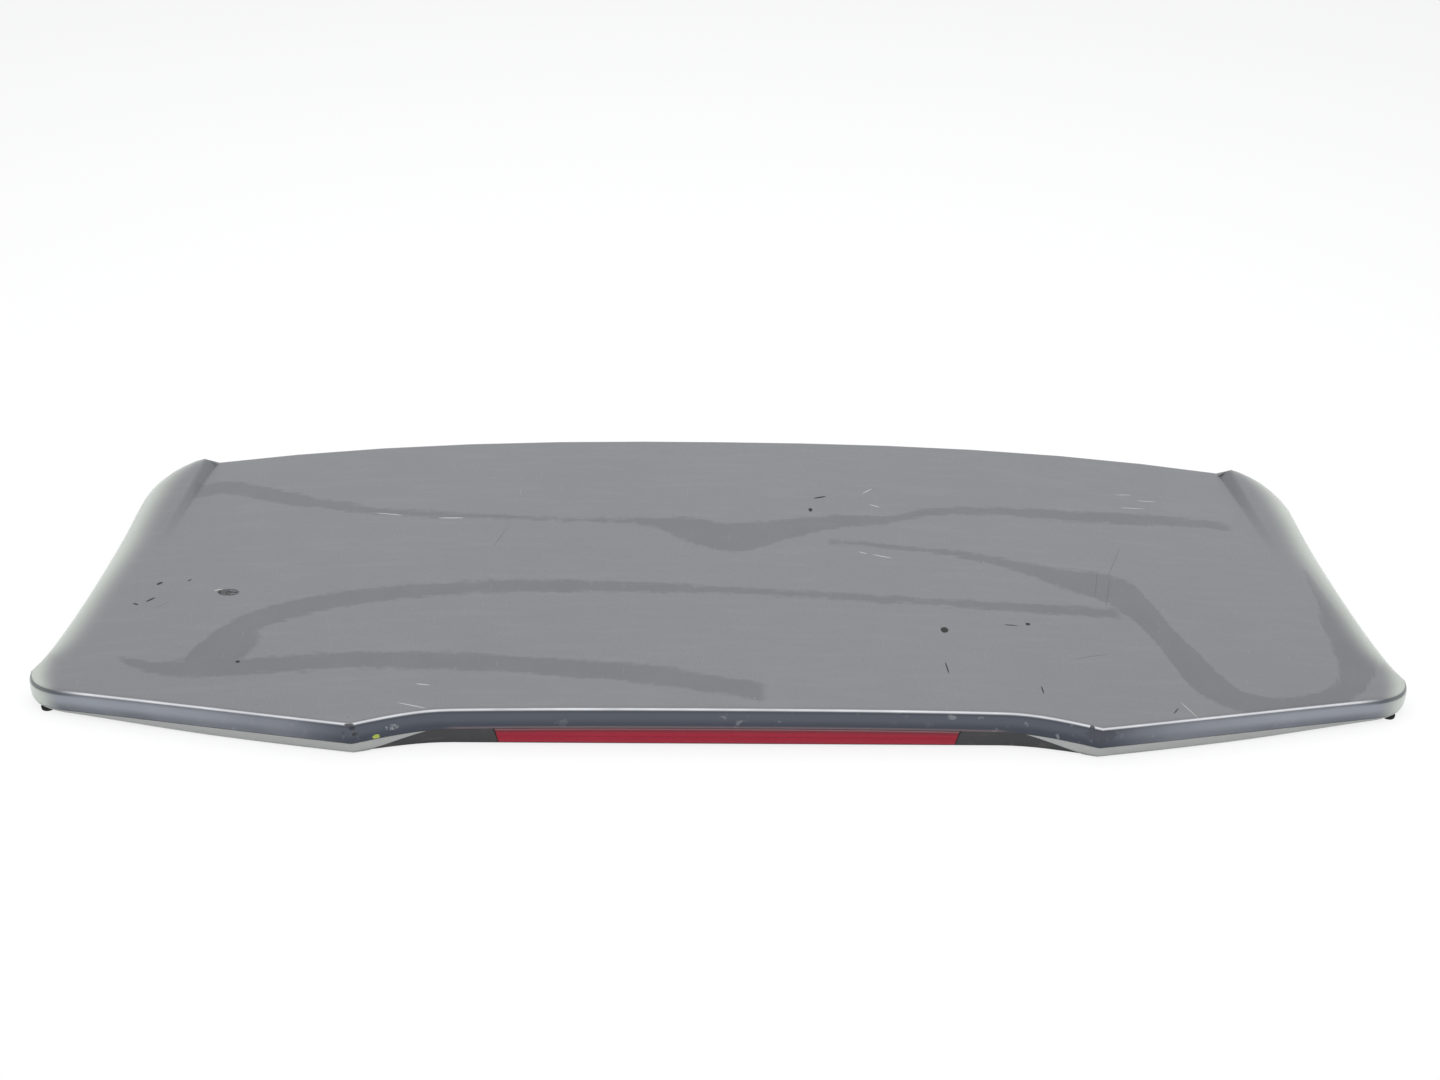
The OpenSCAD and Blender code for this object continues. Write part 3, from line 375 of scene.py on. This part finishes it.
peel = (where.noise(0.004, 2.0) * 0.35 + flake * 0.12 - scratches * 0.3 - dark_marks * 1.2
        + pale_marks * 0.8 + grains * 0.8 - chips * 1.4)
shade(peel, 0.00012, 0.5, base_color=grey, metallic=0.35, roughness=dullness,
      coat_weight=0.95 - dark_marks * 0.8 - tip_chips * 0.7 - chips * 0.7 - on_band * 0.35,
      coat_roughness=0.07, coat_ior=1.5)
upper = merged("upper_skin", "upper_skin_painted", 34)
upper.data.materials.append(paint)
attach(upper, "root")
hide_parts("upper_skin")

# Lower skin: the second painted moulding. Only its lip shows behind the part; the panel beneath has
# mould grain, overspray, dust and the ribs, towers and pads that hold the fixings.
shell, where, shade = finish("lower_shell_paint")
depth_below = below_top(where)
lip = depth_below.ramp(0.034, 0.030)
cloud = where.noise(0.09, 4.0)
grain = where.noise(0.0012, 2.0)
dust = where.noise(0.02, 5.0)
runs = where.noise(0.05, 3.0, where.node("Mapping", None, {"Vector": where, "Scale": (4.0, 1.0, 1.0)}))
grey = where.mix(cloud, (0.155, 0.158, 0.168, 1.0), (0.20, 0.203, 0.212, 1.0))
grey = where.mix(dust.ramp(0.45, 0.8) * 0.5, grey, (0.30, 0.295, 0.28, 1.0))
grey = where.mix(runs.ramp(0.62, 0.7) * 0.25, grey, (0.10, 0.10, 0.105, 1.0))
# Painted reflection: the lip is painted pale grey for the white table mirrored in its glossy paint.
pale = where.mix(cloud, (0.40, 0.41, 0.40, 1.0), (0.48, 0.49, 0.48, 1.0))
grey = where.mix(lip, grey, pale)
shade(grain * 0.6 + dust * 0.4, 0.0002, 0.35, base_color=grey, metallic=0.1, roughness=0.62 - lip * 0.25,
      coat_weight=lip * 0.8, coat_roughness=0.12)
lower = merged("lower_skin", "lower_skin_painted", 34)
lower.data.materials.append(shell)
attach(lower, "root")
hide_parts("lower_skin")

# Shroud: charcoal, grained moulding that lines the notch round the stop lamp and shows at both ends of
# it. It is held by four screws in tabs behind it, and is dusty, with pale wipes.
charcoal, where, shade = finish("charcoal_grained")
grain = where.node("TexVoronoi", {"feature": "F1"}, {"Vector": where, "Scale": 900.0})
fine = where.noise(0.0006, 2.0)
dust = where.noise(0.018, 4.0)
streak = where.noise(0.03, 4.0, where.node("Mapping", None, {"Vector": where, "Scale": (1.0, 1.0, 8.0)}))
tone = where.mix(fine, (0.050, 0.050, 0.053, 1.0), (0.078, 0.078, 0.081, 1.0))
tone = where.mix(dust.ramp(0.5, 0.8) * 0.45, tone, (0.15, 0.148, 0.142, 1.0))
tone = where.mix(streak.ramp(0.6, 0.75) * 0.2, tone, (0.20, 0.20, 0.20, 1.0))
shade(grain * 0.7 + fine * 0.3, 0.0002, 0.45, base_color=tone, roughness=0.58 + fine * 0.2, specular_ior_level=0.4)
shroud = merged("lamp_shroud", "lamp_shroud_grained", 30)
shroud.data.materials.append(charcoal)
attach(shroud, "root")
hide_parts("lamp_shroud")

# Lens: one red moulding, 412 mm long, set a few millimetres behind the band, with a dark line moulded
# along it. Its upper edge lies in the shade of the band, and its ends are black where it meets the shroud.
lens_half, line_height = 0.2092, 0.0092


def wear(node, material):
    """Puts a material on a CAD node that keeps its own shape."""
    nodes[node].data.materials.clear()
    nodes[node].data.materials.append(material)


lens_red, where, shade = finish("red_lens")
under = below_top(where)
ends = (abs(where.x) + under * 0.2 - lens_half).ramp(-0.0005, 0.0005)
line = abs(where.z - line_height).ramp(0.0012, 0.0004)
cell = where.noise(0.05, 2.0)
dirt = where.noise(0.006, 5.0)
red = where.mix(cell, (0.42, 0.012, 0.040, 1.0), (0.48, 0.020, 0.052, 1.0))
red = where.mix(line * 0.35, red, (0.24, 0.010, 0.030, 1.0))
red = where.mix(where.z.ramp(0.008, 0.002) * 0.25, red, (0.55, 0.10, 0.13, 1.0))
# Painted shade darkens the upper part of the lens under the band, and a painted highlight lightens the strip along its
# top edge.
red = where.mix(under.ramp(0.0300, 0.0262) * 0.6, red, (0.16, 0.030, 0.045, 1.0))
red = where.mix(under.ramp(0.0254, 0.0245) * 0.8, red, (0.30, 0.18, 0.19, 1.0))
red = where.mix(dirt.ramp(0.60, 0.85) * 0.15, red, (0.50, 0.22, 0.22, 1.0))
red = where.mix(ends, red, (0.010, 0.008, 0.009, 1.0))
shade(dirt * 0.3 + line, 0.0001, 0.2, base_color=red, roughness=0.34 + dirt * 0.2, coat_weight=0.12,
      coat_roughness=0.12, specular_ior_level=0.2, transmission_weight=0.06, ior=1.49)
wear("lamp_lens", lens_red)

# Foam: the lens gasket, the strips under the front edge and flanks, and the rings round the studs.
# All are cut from black closed-cell foam and stuck or pushed on.
foam, where, shade = finish("closed_cell_foam")
cells = where.node("TexVoronoi", None, {"Vector": where, "Scale": 1400.0})
crush = where.noise(0.008, 3.0)
tone = where.mix(cells, (0.018, 0.018, 0.019, 1.0), (0.052, 0.052, 0.055, 1.0))
tone = where.mix(crush.ramp(0.5, 0.8) * 0.5, tone, (0.11, 0.107, 0.10, 1.0))
shade(cells + crush, 0.0003, 0.7, base_color=tone, roughness=0.9, specular_ior_level=0.2)
for node in ("lamp_gasket", "stud_seals", "front_seal", "side_seals"):
    wear(node, foam)

# Housing, socket and the bodies of the resistors: black glass-filled plastic, matt, with the flow marks
# of moulding. All of them are hidden behind the lens.
black, where, shade = finish("black_moulding")
fine = where.noise(0.0008, 2.0)
flow = where.noise(0.02, 4.0, where.node("Mapping", None, {"Vector": where, "Scale": (0.3, 1.0, 2.0)}))
tone = where.mix(fine, (0.014, 0.014, 0.015, 1.0), (0.030, 0.030, 0.031, 1.0))
tone = where.mix(flow.ramp(0.5, 0.75) * 0.4, tone, (0.060, 0.058, 0.055, 1.0))
shade(fine + flow * 0.4, 0.0002, 0.35, base_color=tone, roughness=0.5 + flow * 0.25)
for node in ("lamp_housing", "lamp_socket", "lamp_resistors"):
    wear(node, black)

# Reflector: a moulded strip with one cup for each diode. It is metallised in a vacuum, so it mirrors
# with a faint haze. It is hidden behind the lens.
mirror, where, shade = finish("metallised_strip")
haze = where.noise(0.01, 4.0)
tone = where.mix(haze, (0.78, 0.79, 0.81, 1.0), (0.90, 0.90, 0.91, 1.0))
shade(haze, 0.0001, 0.2, base_color=tone, metallic=0.95, roughness=0.16 + haze * 0.12)
wear("lamp_reflector", mirror)

# Circuit board: glass-fibre laminate under green solder resist, with its weave showing faintly as
# a fine relief. It carries the diodes and their resistors.
laminate, where, shade = finish("solder_resist")
warp, weft = (where.node("TexWave", {"wave_type": "BANDS", "bands_direction": direction},
                         {"Vector": where, "Scale": 480.0}) for direction in "XZ")
weave = warp * weft
tone = where.mix(weave * 0.5, (0.012, 0.085, 0.035, 1.0), (0.030, 0.15, 0.065, 1.0))
shade(weave, 0.0001, 0.3, base_color=tone, roughness=0.32 + where.noise(0.01) * 0.15, coat_weight=0.4)
wear("lamp_board", laminate)

# Diodes: clear resin over a yellow chip, one body for each of the sixteen places. They sit in the cups
# of the reflector.
resin, where, shade = finish("diode_resin")
tone = where.mix(where.noise(0.0012), (0.80, 0.72, 0.40, 1.0), (0.92, 0.88, 0.70, 1.0))
shade(where.noise(0.0008), 0.0001, 0.2, base_color=tone, roughness=0.15 + where.noise(0.002) * 0.1, coat_weight=0.5)
wear("lamp_leds", resin)

# Terminals: two flat brass pins in the socket, tinned. The brass shows where the tin has worn off
# in blotches.
brass, where, shade = finish("tinned_brass")
tone = where.mix(where.noise(0.002, 3.0).ramp(0.4, 0.7), (0.72, 0.66, 0.50, 1.0), (0.62, 0.48, 0.24, 1.0))
shade(where.noise(0.0006), 0.0001, 0.2, base_color=tone, metallic=1.0, roughness=0.28 + where.noise(0.003) * 0.2)
wear("lamp_terminals", brass)

# Steel fixings: the lamp's four screws and the push-on washers that hold the studs. They are zinc plated,
# dull and slightly stained. The studs and the shroud's screws below share this finish.
zinc, where, shade = finish("zinc_plate")
stain = where.noise(0.004, 5.0)
brushed = where.noise(0.0008, 2.0, where.node("Mapping", None, {"Vector": where, "Scale": (1.0, 1.0, 6.0)}))
tone = where.mix(stain, (0.50, 0.51, 0.53, 1.0), (0.66, 0.66, 0.66, 1.0))
tone = where.mix(stain.ramp(0.62, 0.72) * 0.5, tone, (0.26, 0.17, 0.10, 1.0))
shade(brushed + stain, 0.0001, 0.3, base_color=tone, metallic=0.95, roughness=0.34 + stain * 0.2)
for node in ("lamp_screws", "stud_retainers"):
    wear(node, zinc)

# Studs: M6, with a square head in each tower, a plain neck and a rolled thread down to the chamfer.
# The thread is a three-cornered ridge wound up the core, with its foot sunk a little into it.
stud_places, stud_y = (-0.430, -0.165, 0.165, 0.430), 0.051
core, crest, thread_pitch, turns = 0.00262, 0.0030, 0.001, 20
thread_low, neck_low, shank_reach, sunk = 0.0014, 0.0226, 0.0031, 0.0001
profile = ((core - sunk, 0.0), (crest, 0.45), (core - sunk, 0.9))
studs = merged("mounting_studs", "studs_threaded", 30)
for vertex in studs.data.vertices:
    place = min(stud_places, key=lambda x: abs(vertex.co.x - x))
    out = Vector((vertex.co.x - place, vertex.co.y - stud_y))
    if vertex.co.z < neck_low and out.length < shank_reach:
        vertex.co.x, vertex.co.y = place + out.x * core / crest, stud_y + out.y * core / crest
for place in stud_places:
    bpy.ops.object.select_all(action="DESELECT")
    bpy.ops.mesh.primitive_circle_add(vertices=3, radius=0.001)
    ridge = bpy.context.object
    for vertex, (radius, share) in zip(ridge.data.vertices, profile):
        vertex.co = (radius, 0.0, thread_low + share * thread_pitch)
    wind = ridge.modifiers.new("wind", "SCREW")
    wind.steps, wind.render_steps = 16, 16
    wind.iterations, wind.screw_offset = turns, thread_pitch
    bpy.ops.object.modifier_apply(modifier="wind")
    bpy.ops.object.mode_set(mode="EDIT")
    bpy.ops.mesh.select_all(action="SELECT")
    bpy.ops.mesh.fill_holes(sides=3)
    bpy.ops.mesh.normals_make_consistent(inside=False)
    bpy.ops.object.mode_set(mode="OBJECT")
    for vertex in ridge.data.vertices:
        vertex.co += Vector((place, stud_y, 0.0))
    bpy.ops.object.select_all(action="DESELECT")
    ridge.select_set(True)
    studs.select_set(True)
    bpy.context.view_layer.objects.active = studs
    bpy.ops.object.join()
studs.data.materials.clear()
studs.data.materials.append(zinc)
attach(studs, "root")
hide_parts("mounting_studs")

# Shroud screws: pan heads under the tabs of the shroud, each with a cross recess for the driver.
# The recess is cut from below in two turns, one for each slot of the cross.
screw_places, screw_y, near_screw = (-0.215, -0.080, 0.080, 0.215), -0.0855, 0.01
slot_length, slot_width, slot_depth, overcut = 0.0052, 0.0009, 0.0014, 0.0005
screws = merged("shroud_screws", "shroud_screws_recessed", 30)
corners = [vertex.co.copy() for vertex in screws.data.vertices]
for turned in (False, True):
    cutters = []
    bpy.ops.object.select_all(action="DESELECT")
    for place in screw_places:
        face = min(co.z for co in corners if abs(co.x - place) < near_screw)
        bpy.ops.mesh.primitive_cube_add(size=1.0, location=(place, screw_y, face + slot_depth / 2 - overcut))
        cutter = bpy.context.object
        long, wide = (slot_width, slot_length) if turned else (slot_length, slot_width)
        cutter.scale = (long, wide, slot_depth + 2 * overcut)
        bpy.ops.object.transform_apply(location=True, rotation=True, scale=True)
        cutters.append(cutter)
    bpy.ops.object.select_all(action="DESELECT")
    for cutter in cutters:
        cutter.select_set(True)
    bpy.context.view_layer.objects.active = cutters[0]
    bpy.ops.object.join()
    bpy.context.view_layer.objects.active = screws
    cut = screws.modifiers.new("cut", "BOOLEAN")
    cut.operation, cut.solver, cut.object = "DIFFERENCE", "EXACT", cutters[0]
    bpy.ops.object.modifier_apply(modifier="cut")
    bpy.data.objects.remove(cutters[0])
bpy.ops.object.select_all(action="DESELECT")
screws.select_set(True)
bpy.context.view_layer.objects.active = screws
bpy.ops.object.shade_smooth_by_angle(angle=math.radians(30))
screws.data.materials.clear()
screws.data.materials.append(zinc)
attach(screws, "root")
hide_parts("shroud_screws")

# Push clips: four fir-tree clips along the front edge, moulded in natural nylon. They are slightly
# yellowed, with grime on the barbs.
nylon, where, shade = finish("natural_nylon")
grime = where.noise(0.004, 4.0)
tone = where.mix(where.noise(0.003), (0.66, 0.63, 0.54, 1.0), (0.76, 0.73, 0.65, 1.0))
tone = where.mix(grime.ramp(0.55, 0.75) * 0.6, tone, (0.28, 0.25, 0.20, 1.0))
shade(grime, 0.0002, 0.3, base_color=tone, roughness=0.42 + grime * 0.2)
wear("front_clips", nylon)

# Rubber: the grommet of the wiring port and the buffers under the rear corners. The rubber is black and
# matt, with a grey bloom of age.
rubber, where, shade = finish("black_rubber")
bloom = where.noise(0.006, 4.0)
tone = where.mix(bloom.ramp(0.4, 0.8), (0.012, 0.012, 0.012, 1.0), (0.060, 0.058, 0.056, 1.0))
shade(where.noise(0.0007) + bloom * 0.4, 0.0002, 0.4, base_color=tone, roughness=0.72 + bloom * 0.15)
for node in ("harness_grommet", "corner_buffers"):
    wear(node, rubber)
